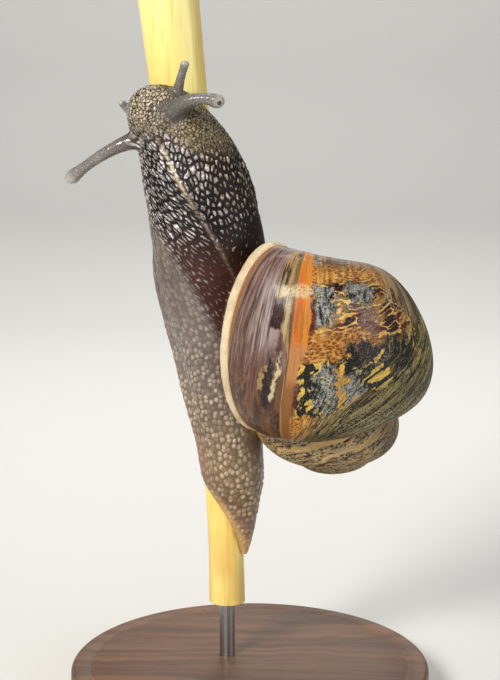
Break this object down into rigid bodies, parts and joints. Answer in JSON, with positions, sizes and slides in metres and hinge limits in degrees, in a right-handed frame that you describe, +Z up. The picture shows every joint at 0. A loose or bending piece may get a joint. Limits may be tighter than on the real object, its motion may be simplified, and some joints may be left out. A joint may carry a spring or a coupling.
{
  "type": "garden snail model",
  "caption": "Life-size still model of a garden snail with a left-coiled shell, climbing a short cut stem held by a rod on a round base.",
  "frame": {"origin": "centre of the display base's underside", "axes": "+Z up along the stem, -Y the side the snail's neck faces, +X the side the shell leans to"},
  "size_m": [0.056, 0.056, 0.108],
  "materials": {
    "skin": "moist, warty, grey-brown",
    "eye": "glossy black",
    "shell": "worn semi-gloss, banded brown",
    "shell_lip": "smooth cream",
    "stem": "dry straw, faintly ribbed",
    "stand_base": "dark stained, satin",
    "stand_rod": "brushed"
  },
  "bodies": {
    "root": {"head": "skin", "neck": "skin", "trunk": "skin", "tail": "skin", "mantle_collar": "skin", "upper_tentacle_left": "skin", "upper_tentacle_right": "skin", "lower_tentacle_left": "skin", "lower_tentacle_right": "skin", "eye_left": "eye", "eye_right": "eye", "shell": "shell", "shell_lip": "shell_lip", "perch_stem": "stem", "stand_base": "stand_base", "stand_rod": "stand_rod"}
  },
  "joints": []
}
